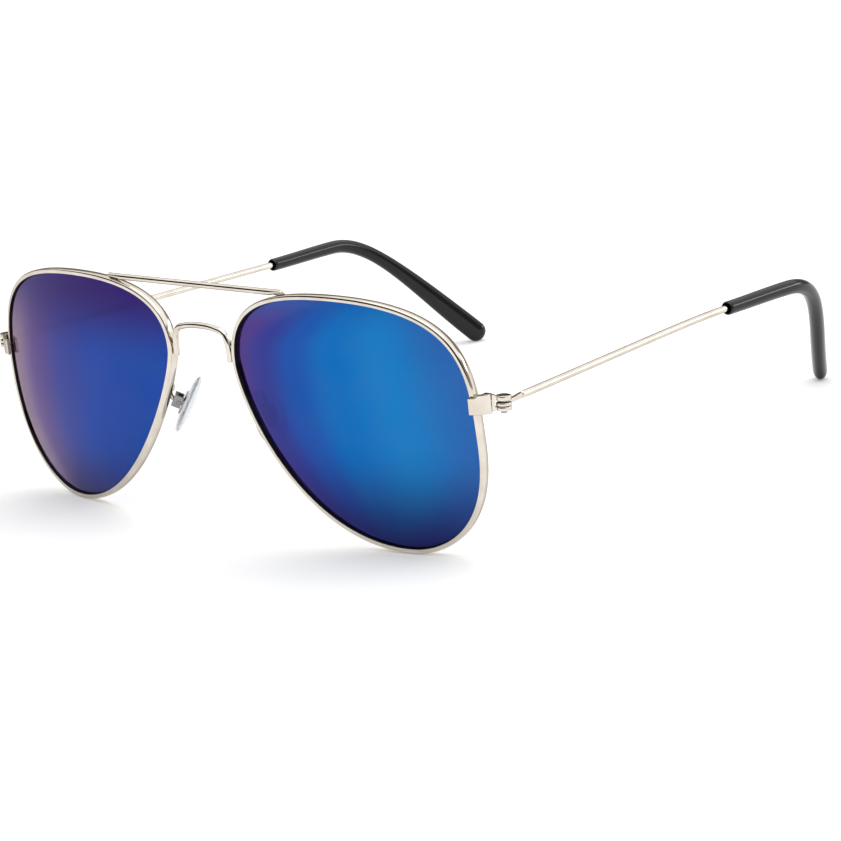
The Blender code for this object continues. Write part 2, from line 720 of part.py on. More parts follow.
def make_pad_box(name, side, material):
    """A small open cup whose two cheeks hold the pad's stem."""
    half = BOX_SIZE / 2
    bm = bmesh.new()
    block(bm, (-half, -half, -half), (half, BOX_FRONT, half))
    part = add_part(name, bm, material, side, place=pad_place())
    slot = bmesh.new()
    inside = half - BOX_WALL
    block(slot, (-inside, -half + BOX_WALL, -BOX_SIZE), (inside, BOX_SIZE, BOX_SIZE))
    combine(part, add_cutter(f"{name}_slot", slot, side, pad_place()), "DIFFERENCE")
    hole = bmesh.new()
    turned(hole, ((STEM_HOLE, -BOX_SIZE), (STEM_HOLE, BOX_SIZE)), FITTING_SIDES)
    combine(part, add_cutter(f"{name}_hole", hole, side, screw_turn()), "DIFFERENCE")
    return part


def make_pad_screw(name, side, material):
    bm = bmesh.new()
    half = BOX_SIZE / 2
    seat = half + LAP_GAP / 2
    crown = seat + PAD_HEAD_HEIGHT
    turned(
        bm,
        (
            (PAD_SCREW_RADIUS, -seat),
            (PAD_SCREW_RADIUS, seat),
            (PAD_HEAD_RADIUS, seat),
            (PAD_HEAD_RADIUS * 0.7, crown),
        ),
        FITTING_SIDES,
    )
    return add_part(name, bm, material, side, place=screw_turn())


def make_pad_stem(name, side, material, pivot):
    """The metal insert: a drilled stem on an oval plate that backs the pad."""
    half = STEM_WIDTH / 2
    plate_front = PAD_STANDOFF - LAP_GAP
    bm = bmesh.new()
    block(bm, (-half, STEM_BACK, -STEM_HALF_HEIGHT), (half, plate_front - LAP_GAP, STEM_HALF_HEIGHT))
    part = add_part(name, bm, material, side, pivot, pad_place())
    plate = bmesh.new()
    across, up = Vector((1, 0, 0)), Vector((0, 0, 1))
    skin(
        plate,
        [
            circle(Vector((0, y, 0)), across, up, *PLATE_RADII, 16)
            for y in (plate_front - PLATE_THICKNESS, plate_front)
        ],
    )
    combine(part, add_cutter(f"{name}_plate", plate, side, pad_place()), "UNION")
    hole = bmesh.new()
    turned(hole, ((STEM_HOLE, -BOX_SIZE), (STEM_HOLE, BOX_SIZE)), FITTING_SIDES)
    combine(part, add_cutter(f"{name}_hole", hole, side, screw_turn()), "DIFFERENCE")
    return part


def make_nose_pad(name, side, material, pivot):
    """A soft oval pad, fuller at its lower end, domed towards the nose."""
    sides = 20
    layers = ((0.0, 0.72), (0.25, 0.95), (0.5, 1.0), (0.75, 0.90), (1.0, 0.55))
    rings = []
    for share, scale in layers:
        ring = []
        for i in range(sides):
            angle = math.tau * i / sides
            fuller = 1.0 - 0.12 * math.sin(angle)
            x = PAD_WIDTH / 2 * scale * fuller * math.cos(angle)
            z = PAD_LENGTH / 2 * scale * math.sin(angle)
            ring.append(Vector((x, PAD_STANDOFF + PAD_THICKNESS * share, z)))
        rings.append(ring)
    bm = bmesh.new()
    skin(bm, rings)
    return add_part(name, bm, material, side, pivot, pad_place())


# ---------------------------------------------------------------- assembly
def clear_scene():
    for item in list(bpy.data.objects):
        bpy.data.objects.remove(item, do_unlink=True)


def make_side(side, label, silver, fittings, lens, sleeve, silicone):
    make_rim(f"rim_{label}", side, silver)
    make_lens(f"lens_{label}", side, lens)
    make_end_piece(f"end_piece_{label}", side, silver)
    make_closing_block(f"closing_block_upper_{label}", side, fittings, upper=True)
    make_closing_block(f"closing_block_lower_{label}", side, fittings, upper=False)
    make_block_screw(f"closing_screw_{label}", side, fittings)
    make_front_hinge(f"front_hinge_{label}", side, silver)
    make_hinge_screw(f"hinge_screw_{label}", side, fittings)

    temple = add_pivot(f"temple_{label}_pivot", HINGE, HINGE_LEAN, side)
    make_temple_hinge(f"temple_hinge_{label}", side, silver, temple)
    make_temple_wire(f"temple_wire_{label}", side, silver, temple)
    make_temple_tip(f"temple_tip_{label}", side, sleeve, temple)

    make_pad_arm(f"pad_arm_{label}", side, silver)
    make_pad_box(f"pad_box_{label}", side, fittings)
    make_pad_screw(f"pad_screw_{label}", side, fittings)
    rocker = add_pivot(f"nose_pad_{label}_pivot", PAD_PIVOT, 0.0, side)
    make_pad_stem(f"pad_stem_{label}", side, fittings, rocker)
    make_nose_pad(f"nose_pad_{label}", side, silicone, rocker)


def main():
    clear_scene()
    silver = finish("silver_wire", (0.80, 0.78, 0.74), 0.12, 1.0)
    fittings = finish("steel_fittings", (0.62, 0.61, 0.60), 0.25, 1.0)
    lens = finish("blue_mirror_lens", (0.03, 0.16, 0.62), 0.05, 0.6, 0.9)
    sleeve = finish("black_tip_plastic", (0.02, 0.02, 0.022), 0.3, 0.0)
    silicone = finish("clear_silicone", (0.90, 0.91, 0.90), 0.2, 0.0, 0.4)
    for side, label in SIDES:
        make_side(side, label, silver, fittings, lens, sleeve, silicone)
    make_bridge("bridge", silver)
    make_brow_bar("brow_bar", silver)


main()
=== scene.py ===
"""Looks of the wire-frame aviator sunglasses: fine meshes, materials, light and camera.

Metres, +Z up, front towards -Y. "Left" is the wearer's left, which is +X. Paired pieces are made for
the left side and mirrored for the right one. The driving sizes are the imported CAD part's own.
"""

import math

import bmesh
import bpy
import numpy as np
from mathutils import Euler, Matrix, Vector


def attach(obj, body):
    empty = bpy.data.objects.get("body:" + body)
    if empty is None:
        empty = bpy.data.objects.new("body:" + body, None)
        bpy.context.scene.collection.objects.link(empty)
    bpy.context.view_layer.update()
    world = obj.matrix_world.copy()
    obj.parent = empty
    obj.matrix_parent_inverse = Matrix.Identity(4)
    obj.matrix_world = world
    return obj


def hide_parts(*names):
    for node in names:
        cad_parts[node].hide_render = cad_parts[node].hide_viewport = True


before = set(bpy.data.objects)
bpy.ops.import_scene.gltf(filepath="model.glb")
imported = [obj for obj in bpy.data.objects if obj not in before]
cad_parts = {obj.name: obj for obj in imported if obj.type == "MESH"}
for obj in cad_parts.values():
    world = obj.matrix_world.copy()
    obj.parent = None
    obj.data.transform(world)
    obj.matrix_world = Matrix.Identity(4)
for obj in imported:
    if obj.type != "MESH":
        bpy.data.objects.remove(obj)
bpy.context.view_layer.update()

SIDES = ((1, "left"), (-1, "right"))
# CAD nodes that are shown as they are, for each side.
KEPT = (
    "closing_block_upper",
    "closing_block_lower",
    "closing_screw",
    "pad_box",
    "pad_screw",
    "pad_stem",
)

# Lens opening of the left rim, as (x, z) extreme points and the reach of the curve's handles there.
OPENING_TOP = (0.0338, 0.0494)
OPENING_OUTER = (0.0643, 0.0231)
OPENING_BOTTOM = (0.0469, 0.00102)
OPENING_INNER = (0.0093, 0.0362)
TOP_REACH = (0.0123, 0.0301)  # towards the nose, towards the temple
OUTER_REACH = (0.0138, 0.0184)  # up, down
BOTTOM_REACH = (0.0238, 0.0054)  # towards the nose, towards the temple
INNER_REACH = (0.0106, 0.0066)  # up, down
CURVE_POINTS = 200  # on each of the outline's four curves

# Curved face of the lens and the rim.
FACE_MIDDLE = (0.0360, 0.0260)
FACE_Y = -0.0687
FACE_WRAP = 0.101
FACE_LEAN = -0.038
FACE_RADIUS_ACROSS = 0.105
FACE_RADIUS_UP = 0.143

# Rim and lens.
RIM_WIDTH = 0.0011
RIM_DEPTH = 0.0024
RIM_BULGE = 0.00022  # how far the outer side's middle stands proud of its edges
RIM_CORNER = 0.00022  # rounding of the front outer edge
RIM_EXTRA_CORNER = 0.00050  # added to it over the upper temple side
RIM_BACK_CORNER = 0.00030
RIM_INNER_CORNERS = (0.00010, 0.00014)  # front, back
SEAT_LIP = 0.0001  # of rim metal left between the painted-shade seat and the lens
CORNER_STEPS = 5
RIM_SPLIT_Z = 0.0309
RIM_SPLIT = 0.0003
RIM_STATIONS = 260
FITTING_STATIONS = 64  # the CAD rim's own, where fittings meet it
LENS_STATIONS = 144
LENS_RINGS = 26
LENS_EDGE = 0.00045
LENS_FRONT = 0.0008
LENS_BACK = 0.0019
LENS_DRIFT = 0.00032  # how much nearer to the rim's front edge the lens sits at the temple

# Hinge and end piece.
HINGE = Vector((0.0690, -0.0587, 0.0309))
HINGE_LEAN = math.radians(5.0)
KNUCKLE_RADIUS = 0.00145
UPPER_KNUCKLE = (0.00028, 0.00125)  # heights above the hinge point, along the axis
TEMPLE_KNUCKLE = (-0.00072, -0.00008)
LOWER_KNUCKLE = (-0.00160, -0.00084)
WEB_CLEAR = 0.00015  # between the web and the knuckles' outside
WEB_RISE = 0.00015  # the web stands this much proud of the knuckles at both ends
WEB_DEPTH = 0.0012
WEB_GAP = 0.0001  # between the strap's end and the web
WEB_EASE = 0.00005
LUG_LAP = 0.0001  # how far the lugs run into the web
LUG_END = -0.0004
LUG_SETBACK = 0.00006  # how much shorter than its knuckle each lug is, at both ends
STRAP_ANGLE = math.radians(45.0)
STRAP_THICKNESS = 0.0007
STRAP_LOW = -0.0020  # heights above the hinge point
STRAP_HIGH = 0.0017
LAP_HIGH = 0.0012  # the strap is lower where it laps the rim
STRAP_OUTSIDE = -0.00042  # outer face, measured from the hinge axis towards the inside
STRAP_END = -0.0023  # along the strap, measured from the hinge axis
STRAP_CORNER = -0.0045  # where the strap meets its lap over the rim
STRAP_EASE = 0.00014
FLANGE_OVERHANG = 0.0003
LAP_GAP = 0.0001
HEAD_CROWN = 0.00012  # the hinge screw's crown above the upper knuckle
CROWN_RADIUS = 0.00088
CROWN_HEIGHT = 0.0002
SLOT_HALF_WIDTH = 0.00013
HEAD_RADIUS = 0.00090
HEAD_SPAN = (-0.00045, -0.00016)  # heights of the head's edge, measured from its crown
HEAD_EASE = 0.00006
HINGE_SCREW_RADIUS = 0.00060
HINGE_SCREW_SPAN = (-0.00210, 0.0010)

# Temple: wire, sleeve and the flattened end.
WIRE_RADIUS = 0.0007
WIRE_IN_SLEEVE = 0.004  # how far the wire is drawn into the sleeve
WIRE_START = Vector((0.0687, -0.0535, 0.0307))
SLEEVE_START = Vector((0.0639, 0.0163, 0.0293))
BEND_START = Vector((0.0642, 0.0366, 0.0286))
BEND_KNEE = Vector((0.0644, 0.0492, 0.0279))
BEND_SHIN = Vector((0.0571, 0.0546, 0.0163))
TIP_END = Vector((0.0484, 0.0675, 0.00065))
TIP_FLAT = Vector((0.8, 0.6, 0.0))  # across the flattened end's thin way
SLEEVE_RADIUS = 0.0014  # at its mouth
SLEEVE_FULLEST = 0.00155  # at the bend, where it starts to flatten
FLATTENS_FROM = 0.45  # share of the sleeve's length
FLATTENS_OVER = 0.50
PADDLE_HALF_WIDTH = 0.0024
PADDLE_HALF_THICK = 0.0016
MOUTH_LIP = 0.0002  # length of the sleeve's narrower first edge
MOUTH_SHRINK = 0.92
MOUTH_BORE = ((0.0, 0.00112), (0.0003, 0.00100), (0.0012, 0.00085), (0.0035, 0.00078))  # (depth, radius)
LEAF_THICK = 0.0009
LEAF_END_HEIGHT = 0.0010
LEAF_EASE = 0.00008

# Bridge, brow bar and their brazed joints.
BRIDGE_RADIUS = 0.00062
BRIDGE_TOP_Z = 0.0417
BRIDGE_SHOULDER = (0.0054, 0.0411)
BRIDGE_LEG = (0.00745, 0.0350)
BRIDGE_Y = -0.0673
BRIDGE_CROWN_REACH = 0.0035
BRIDGE_ELBOW = ((-0.0012, 0.0002), (0.0016, -0.0004))  # handles on either side of the shoulder
BRIDGE_LEG_REACH = 0.0042
BAR_HALF_LENGTH = 0.0240
BAR_RADIUS = 0.00062
BAR_SCARF = 0.0035  # length of the bevelled ends that rest on the rims
BAR_EASE = 0.00012
BAR_Y = -0.0675
BAR_Z = 0.0500
BRAZE_RADIUS = 0.00042
BRIDGE_BRAZE_TOP = 0.0395
BRIDGE_BRAZE_SHIFT = Vector((0.00050, 0.0004, 0.0))
BAR_BRAZE_SPAN = (0.0205, 0.0245)
BAR_BRAZE_BACK = 0.0003  # behind the bar's middle
BAR_BRAZE_DROP = 0.0001  # below it, at the bar's end
BAR_BRAZE_SLOPE = 0.05
BAR_BRAZE_SPOTS = 9

# Nose pads and the arms that hold them.
PAD_PIVOT = Vector((0.0127, -0.0636, 0.0243))
PAD_SPLAY = math.radians(28.0)
PAD_RAKE = math.radians(15.0)
PAD_TURN = math.radians(40.0)
PAD_LENGTH = 0.0132
PAD_WIDTH = 0.0068
PAD_THICKNESS = 0.0020
PAD_STANDOFF = 0.0011  # pivot to the pad's back face
PAD_TAPER = 0.10  # how much smaller the face is than the back
PAD_FULLNESS = 0.12  # how much wider the lower end is than the upper
PAD_LAYERS = 14
PAD_SIDES = 48
ARM_RADIUS = 0.00045
ARM_FOOT = Vector((0.0119, -0.0687, 0.0272))  # the nearest rim station carries the arm
ARM_CREST = Vector((0.0124, -0.0652, 0.0291))
ARM_SWEEP = Vector((0.0008, 0.0010, 0.0))
ARM_LEAD = 0.0012  # straight pull of the curve where it leaves the rim
ARM_TAIL = 0.0016  # and where it meets the pad box
ARM_SINK = 0.0001
BOX_SIZE = 0.0024

# Mirror coats: display colours from the nose edge to the temple edge, partly the coat's own tint and
# partly a painted sheen, the hue it shows at the camera's viewing angle fixed by position;
# the painted darker reflection of the lower part and the colour of the crown, with the heights between
# which each one fades.
COATS = {
    "left": {
        # Painted sheen: the coat's hue from nose to temple, as seen from the camera.
        "stops": (
            (0.0, (84, 58, 140)),
            (0.14, (54, 61, 150)),
            (0.30, (30, 86, 173)),
            (0.48, (14, 112, 188)),
            (0.72, (24, 126, 194)),
            (1.0, (46, 104, 176)),
        ),
        # Painted reflection: a darker colour at the lens's lower part, and the heights over which it
        # fades.
        "painted_reflection_foot": (38, 34, 102),
        "foot_reach": (-0.002, 0.0225),
        "crown": (28, 104, 180),
        "crown_reach": (0.042, 0.053),
    },
    "right": {
        # Painted sheen: the coat's hue from nose to temple, as seen from the camera.
        "stops": (
            (0.0, (34, 78, 166)),
            (0.38, (40, 76, 166)),
            (0.60, (53, 66, 152)),
            (0.80, (84, 58, 132)),
            (1.0, (136, 104, 134)),
        ),
        # Painted reflection: a darker colour at the lens's lower part, and the heights over which it
        # fades.
        "painted_reflection_foot": (58, 54, 122),
        "foot_reach": (-0.002, 0.014),
        "crown": (58, 40, 114),
        "crown_reach": (0.032, 0.047),
    },
}
# The coats' side edges bend with the opening: (from height, to height, power, amount).
NOSE_EDGE_DRIFT = ((0.030, 0.001, 1.7, 0.026), (0.0362, 0.0494, 2.2, 0.0245))
TEMPLE_EDGE_DRIFT = ((0.0231, 0.001, 2.2, -0.0174), (0.0231, 0.0494, 2.4, -0.0110))

# Camera: a long lens, to the object's front left and a little above it.
CAMERA_PLACE = (0.44688, -0.48060, 0.18373)
CAMERA_TURN = (74.6304, 6.1101, 41.7402)  # degrees
CAMERA_LENS_MM = 137.6

# Studio. Zones of the room are given by the direction in which they lie, as a unit vector.
ROOM_LIGHT = (1.3, 1.3, 1.3)
WALL_COLOR = (0.34, 0.32, 0.295)
WALL_FADE = ((0.01, 0.05), (0.38, 0.48))  # where it starts and ends, upwards
FRONT_COLOR = (0.02, 0.015, 0.012)
FRONT_FADE = ((0.00, 0.04), (0.60, 0.70))
FRONT_DEPTH = (-0.48, -0.25)
CORNER_ACROSS = (0.15, 0.4)
CORNER_DEPTH = (0.48, 0.62)
STRIP_COLOR = (8.0, 8.0, 8.2)
STRIP_FADE = ((0.19, 0.23), (0.29, 0.33))
PANEL_SIZE = (1.6, 1.2)
PANEL_WATTS = 9.0
PANEL_PLACE = (0.1, 0.25, 1.5)
PANEL_TILT = (-9.0, 4.0, 0.0)  # degrees
FLOOR_COLOR = (0.755, 0.755, 0.755)
FLOOR_GLOW = 0.22
FLOOR_REACH = 6.0


# ---------------------------------------------------------------- curves
def cubic(start, handle_a, handle_b, end, count=64):
    """Points of one cubic curve, both ends included."""
    t = np.linspace(0.0, 1.0, count)[:, None]
    a, b, c, d = (np.array(p, float) for p in (start, handle_a, handle_b, end))
    return (1 - t) ** 3 * a + 3 * (1 - t) ** 2 * t * b + 3 * (1 - t) * t**2 * c + t**3 * d


def joined(curves):
    """Curves end to end as one polyline."""
    return np.vstack([curves[0]] + [curve[1:] for curve in curves[1:]])


def run_length(points):
    """Distance along the polyline at each of its points."""
    steps = np.linalg.norm(np.diff(points, axis=0), axis=1)
    return np.concatenate([[0.0], np.cumsum(steps)])


def points_at(points, distances):
    run = run_length(points)
    return np.stack([np.interp(distances, run, axis) for axis in points.T], axis=1)


def opening_outline():
    """The lens opening as a dense closed polyline of (x, z), starting at the rim's split."""
    across, up = np.array((1.0, 0.0)), np.array((0.0, 1.0))
    outer, bottom = np.array(OPENING_OUTER), np.array(OPENING_BOTTOM)
    inner, top = np.array(OPENING_INNER), np.array(OPENING_TOP)
    corners = (
        (outer, outer - up * OUTER_REACH[1], bottom + across * BOTTOM_REACH[1], bottom),
        (bottom, bottom - across * BOTTOM_REACH[0], inner - up * INNER_REACH[1], inner),
        (inner, inner + up * INNER_REACH[0], top - across * TOP_REACH[0], top),
        (top, top + across * TOP_REACH[1], outer + up * OUTER_REACH[0], outer),
    )
    loop = joined([cubic(*corner, CURVE_POINTS) for corner in corners])[:-1]
    outside = loop[:, 0] > OPENING_OUTER[0] - RIM_DEPTH
    split = np.argmin(np.where(outside, np.abs(loop[:, 1] - RIM_SPLIT_Z), np.inf))
    started = np.roll(loop, -split, axis=0)
    return np.vstack([started, started[:1]])


def face_y(x, z):
    """Front surface of the rims, a shallow bowl that wraps back towards the temple."""
    across, up = x - FACE_MIDDLE[0], z - FACE_MIDDLE[1]
    bow = across**2 / (2 * FACE_RADIUS_ACROSS) + up**2 / (2 * FACE_RADIUS_UP)
    return FACE_Y + FACE_WRAP * across + FACE_LEAN * up + bow


def face_normal(x, z):
    """Unit normal of the curved face, pointing back towards the wearer."""
    across, up = x - FACE_MIDDLE[0], z - FACE_MIDDLE[1]
    slope_x = FACE_WRAP + across / FACE_RADIUS_ACROSS
    slope_z = FACE_LEAN + up / FACE_RADIUS_UP
    return Vector((-slope_x, 1.0, -slope_z)).normalized()


def on_face(x, z, depth):
    return Vector((x, face_y(x, z), z)) + face_normal(x, z) * depth


def lens_point(x, z, depth):
    """A point on the lens, which sits nearer to the rim's front edge towards the temple."""
    share = (x - OPENING_INNER[0]) / (OPENING_OUTER[0] - OPENING_INNER[0])
    return on_face(x, z, depth - LENS_DRIFT * share)


def rim_stations(count=RIM_STATIONS):
    """(point, outward, back) at each station round the opening."""
    outline = opening_outline()
    length = run_length(outline)[-1]
    distances = np.linspace(0.0, length, count + 1)
    distances[0], distances[-1] = RIM_SPLIT / 2, length - RIM_SPLIT / 2
    stations = []
    for distance in distances:
        around = [distance, (distance - RIM_SPLIT) % length, (distance + RIM_SPLIT) % length]
        (x, z), (x0, z0), (x1, z1) = points_at(outline, around)
        back = face_normal(x, z)
        tangent = Vector((x1 - x0, face_y(x1, z1) - face_y(x0, z0), z1 - z0)).normalized()
        stations.append((Vector((x, face_y(x, z), z)), tangent.cross(back).normalized(), back))
    return stations


# ---------------------------------------------------------------- meshes
def skin(bm, rings, slots=None):
    """Quads between rings, ends capped. slots gives the material index of each side of the section."""
    rows = [[bm.verts.new(point) for point in ring] for ring in rings]
    sides = len(rows[0])
    for first, second in zip(rows, rows[1:]):
        for i in range(sides):
            j = (i + 1) % sides
            face = bm.faces.new((first[i], first[j], second[j], second[i]))
            face.material_index = slots[i] if slots else 0
    bm.faces.new(rows[0])
    bm.faces.new(list(reversed(rows[-1])))


def circle(center, across, up, radius_across, radius_up, sides):
    return [
        center
        + across * (radius_across * math.cos(math.tau * i / sides))
        + up * (radius_up * math.sin(math.tau * i / sides))
        for i in range(sides)
    ]


def path_frames(points, lateral):
    frames = []
    for i, point in enumerate(points):
        before, after = points[max(i - 1, 0)], points[min(i + 1, len(points) - 1)]
        tangent = Vector(after - before).normalized()
        across = (lateral - tangent * lateral.dot(tangent)).normalized()
        frames.append((Vector(point), tangent, across, tangent.cross(across)))
    return frames


def rod(bm, points, radius, lateral, sides=24, ease=0.35):
    """A round wire along these points, with both ends eased by this share of its radius."""
    frames = path_frames(points, lateral)
    rings = []
    for end in (0, -1):
        point, tangent, across, up = frames[end]
        outwards = -tangent if end == 0 else tangent
        turns = [math.pi / 2 * k / 4 for k in range(1, 5)]
        cap = [
            circle(
                point + outwards * (ease * radius * (math.sin(a) - 1)),
                across,
                up,
                radius * (1 - ease + ease * math.cos(a)),
                radius * (1 - ease + ease * math.cos(a)),
                sides,
            )
            for a in turns
        ]
        first = circle(point - outwards * (ease * radius), across, up, radius, radius, sides)
        rings.append(list(reversed(cap)) + [first] if end == 0 else [first] + cap)
    middle = [circle(p, across, up, radius, radius, sides) for p, _, across, up in frames[1:-1]]
    skin(bm, rings[0] + middle + rings[1])


def turned(bm, profile, sides=48, end_slot=0):
    """A rod turned about local Z, from its (radius, z) outline, bottom to top."""
    across, up = Vector((1, 0, 0)), Vector((0, 1, 0))
    skin(bm, [circle(Vector((0, 0, z)), across, up, radius, radius, sides) for radius, z in profile])
    bm.faces.ensure_lookup_table()
    for end in bm.faces[-2:]:
        end.material_index = end_slot


def eased_disc(bm, radius, low, high, ease=0.00012, end_slot=0):
    """A short round drum with rounded edges."""
    turns = [math.pi / 2 * k / 3 for k in range(4)]
    lower = [(radius - ease + ease * math.sin(a), low + ease - ease * math.cos(a)) for a in turns]
    upper = [(radius - ease + ease * math.cos(a), high - ease + ease * math.sin(a)) for a in turns]
    turned(bm, lower + upper, end_slot=end_slot)


def prism(bm, outline, low, high):
    skin(bm, [[Vector((x, y, z)) for x, y in outline] for z in (low, high)])


def piece(name, bm, materials, body, side=1, place=None, bevel=0.0, stands_for=()):
    """A finished piece made for the left side, mirrored for the right one, riding on its body."""
    if place is not None:
        bm.transform(place)
    if side < 0:
        bm.transform(Matrix.Scale(-1, 4, Vector((1, 0, 0))))
    bmesh.ops.recalc_face_normals(bm, faces=bm.faces)
    mesh = bpy.data.meshes.new(name)
    bm.to_mesh(mesh)
    bm.free()
    mesh.shade_smooth()
    mesh.set_sharp_from_angle(angle=math.radians(40))
    for material in materials:
        mesh.materials.append(material)
    made = bpy.data.objects.new(name, mesh)
    bpy.context.scene.collection.objects.link(made)
    if bevel:
        rounding = made.modifiers.new("Rounded edges", "BEVEL")
        rounding.width = bevel
        rounding.segments = 3
        rounding.limit_method = "ANGLE"
        rounding.harden_normals = True
    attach(made, body)
    if stands_for:
        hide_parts(*stands_for)
    return made


# ---------------------------------------------------------------- materials
def new_material(name):
    material = bpy.data.materials.new(name)
    material.use_nodes = True
    return material, material.node_tree, material.node_tree.nodes["Principled BSDF"]


def node(tree, kind, **settings):
    made = tree.nodes.new(kind)
    for key, value in settings.items():
        setattr(made, key, value)
    return made


def noise(tree, scale, detail=3.0, stretch=(1.0, 1.0, 1.0)):
    """Noise in the piece's own coordinates, its features about 1/scale metres across."""
    place = node(tree, "ShaderNodeTexCoord")
    mapping = node(tree, "ShaderNodeMapping")
    mapping.inputs["Scale"].default_value = stretch
    tree.links.new(place.outputs["Object"], mapping.inputs["Vector"])
    made = node(tree, "ShaderNodeTexNoise")
    made.inputs["Scale"].default_value = scale
    made.inputs["Detail"].default_value = detail
    tree.links.new(mapping.outputs["Vector"], made.inputs["Vector"])
    return made.outputs["Fac"]


def spread(tree, value, low, high, start=0.3, end=0.7):
    """Maps a 0 to 1 value onto low to high, smoothly."""
    made = node(tree, "ShaderNodeMapRange", interpolation_type="SMOOTHSTEP")
    for name, number in (("From Min", start), ("From Max", end), ("To Min", low), ("To Max", high)):
        made.inputs[name].default_value = number
    tree.links.new(value, made.inputs["Value"])
    return made.outputs["Result"]


def bump(tree, shader, height, strength, distance):
    made = node(tree, "ShaderNodeBump")
    made.inputs["Strength"].default_value = strength
    made.inputs["Distance"].default_value = distance
    tree.links.new(height, made.inputs["Height"])
    tree.links.new(made.outputs["Normal"], shader.inputs["Normal"])


def mixed(tree, factor, first, second):
    """A colour between two others. Each is a colour or a socket."""
    made = node(tree, "ShaderNodeMix", data_type="RGBA")
    tree.links.new(factor, made.inputs["Factor"])
    # The colour sockets share their names with the number sockets, so they are taken by place.
    for socket, value in ((made.inputs[6], first), (made.inputs[7], second)):
        if isinstance(value, bpy.types.NodeSocket):
            tree.links.new(value, socket)
        else:
            socket.default_value = (*value, 1.0)
    return made.outputs[2]


def linear(red, green, blue):
    """A colour given as 0 to 255 display values."""
    return tuple(((value / 255 + 0.055) / 1.055) ** 2.4 for value in (red, green, blue))


def silver_material(name, color, dull, roughness):
    """Plated wire: bright metal, faintly cloudy and draw-marked, darker where it is seen edge on."""
    material, tree, shader = new_material(name)
    shader.inputs["Specular Tint"].default_value = (0.48, 0.44, 0.40, 1.0)
    cloud = noise(tree, 260.0)
    tree.links.new(mixed(tree, spread(tree, cloud, 0.0, 1.0), color, dull), shader.inputs["Base Color"])
    tree.links.new(spread(tree, noise(tree, 900.0), *roughness), shader.inputs["Roughness"])
    shader.inputs["Metallic"].default_value = 1.0
    bump(tree, shader, noise(tree, 1500.0, 2.0), 0.06, 0.00004)
    return material


def painted_shade_material():
    """Near-black painted shade, faintly mottled, for the seat between rim and lens and the hinge
    knuckles' flat ends: it stands for the shadow in these gaps.
    """
    material, tree, shader = new_material("painted_shade_gaps")
    cloud = noise(tree, 700.0)
    color = mixed(tree, cloud, (0.004, 0.003, 0.004), (0.012, 0.010, 0.012))
    tree.links.new(color, shader.inputs["Base Color"])
    tree.links.new(spread(tree, cloud, 0.35, 0.55), shader.inputs["Roughness"])
    shader.inputs["Specular IOR Level"].default_value = 0.2
    return material


def ramp(tree, value, stops):
    made = node(tree, "ShaderNodeValToRGB")
    made.color_ramp.interpolation = "EASE"
    elements = made.color_ramp.elements
    while len(elements) < len(stops):
        elements.new(0.5)
    for element, (place, color) in zip(elements, stops):
        element.position = place
        element.color = (*linear(*color), 1.0)
    tree.links.new(value, made.inputs["Fac"])
    return made.outputs["Color"]


def drifted(tree, height, start, edges):
    """A distance across the lens that drifts with height: each edge adds (from, to, power, amount)."""
    total = start
    for low, high, power, amount in edges:
        climb = node(tree, "ShaderNodeMapRange")
        climb.inputs["From Min"].default_value = low
        climb.inputs["From Max"].default_value = high
        tree.links.new(height, climb.inputs["Value"])
        curved = node(tree, "ShaderNodeMath", operation="POWER")
        curved.inputs[1].default_value = power
        tree.links.new(climb.outputs["Result"], curved.inputs[0])
        added = node(tree, "ShaderNodeMath", operation="MULTIPLY_ADD")
        added.inputs[1].default_value = amount
        tree.links.new(curved.outputs[0], added.inputs[0])
        if isinstance(total, float):
            added.inputs[2].default_value = total
        else:
            tree.links.new(total, added.inputs[2])
        total = added.outputs[0]
    return total


def lens_material(name, stops, painted_reflection_foot, foot_reach, crown, crown_reach):
    """Mirror-coated lens: its colour drifts from nose to temple as a painted sheen of the coat's
    angle-dependent hue, is painted darker towards its lower edge as a reflection of the darker floor and
    shade below, and shifts to a set colour at the crown.
    """
    material, tree, shader = new_material(name)
    place = node(tree, "ShaderNodeTexCoord")
    split = node(tree, "ShaderNodeSeparateXYZ")
    tree.links.new(place.outputs["Object"], split.inputs["Vector"])
    height = split.outputs["Z"]
    sideways = node(tree, "ShaderNodeMath", operation="ABSOLUTE")
    tree.links.new(split.outputs["X"], sideways.inputs[0])
    across = node(tree, "ShaderNodeMapRange")
    tree.links.new(sideways.outputs[0], across.inputs["Value"])
    nose_edge = drifted(tree, height, OPENING_INNER[0], NOSE_EDGE_DRIFT)
    temple_edge = drifted(tree, height, OPENING_OUTER[0], TEMPLE_EDGE_DRIFT)
    tree.links.new(nose_edge, across.inputs["From Min"])
    tree.links.new(temple_edge, across.inputs["From Max"])
    # Painted sheen: the coat's hue across the lens, as its viewing angle gives it from the camera, fixed
    # by position.
    painted_sheen = ramp(tree, across.outputs["Result"], stops)
    # Painted reflection: the coat darkens towards its lower edge, standing for the darker floor and
    # shade it reflects.
    low = spread(tree, height, 1.0, 0.0, *foot_reach)
    high = spread(tree, height, 0.0, 1.0, *crown_reach)
    with_painted_reflection = mixed(tree, low, painted_sheen, linear(*painted_reflection_foot))
    color = mixed(tree, high, with_painted_reflection, linear(*crown))
    haze = spread(tree, noise(tree, 90.0, 2.0), 0.006, 0.016)
    tree.links.new(color, shader.inputs["Base Color"])
    tree.links.new(haze, shader.inputs["Roughness"])
    shader.inputs["Metallic"].default_value = 0.62
    shader.inputs["Transmission Weight"].default_value = 1.0
    shader.inputs["IOR"].default_value = 1.12
    bump(tree, shader, noise(tree, 45.0, 1.0), 0.03, 0.0001)
    return material


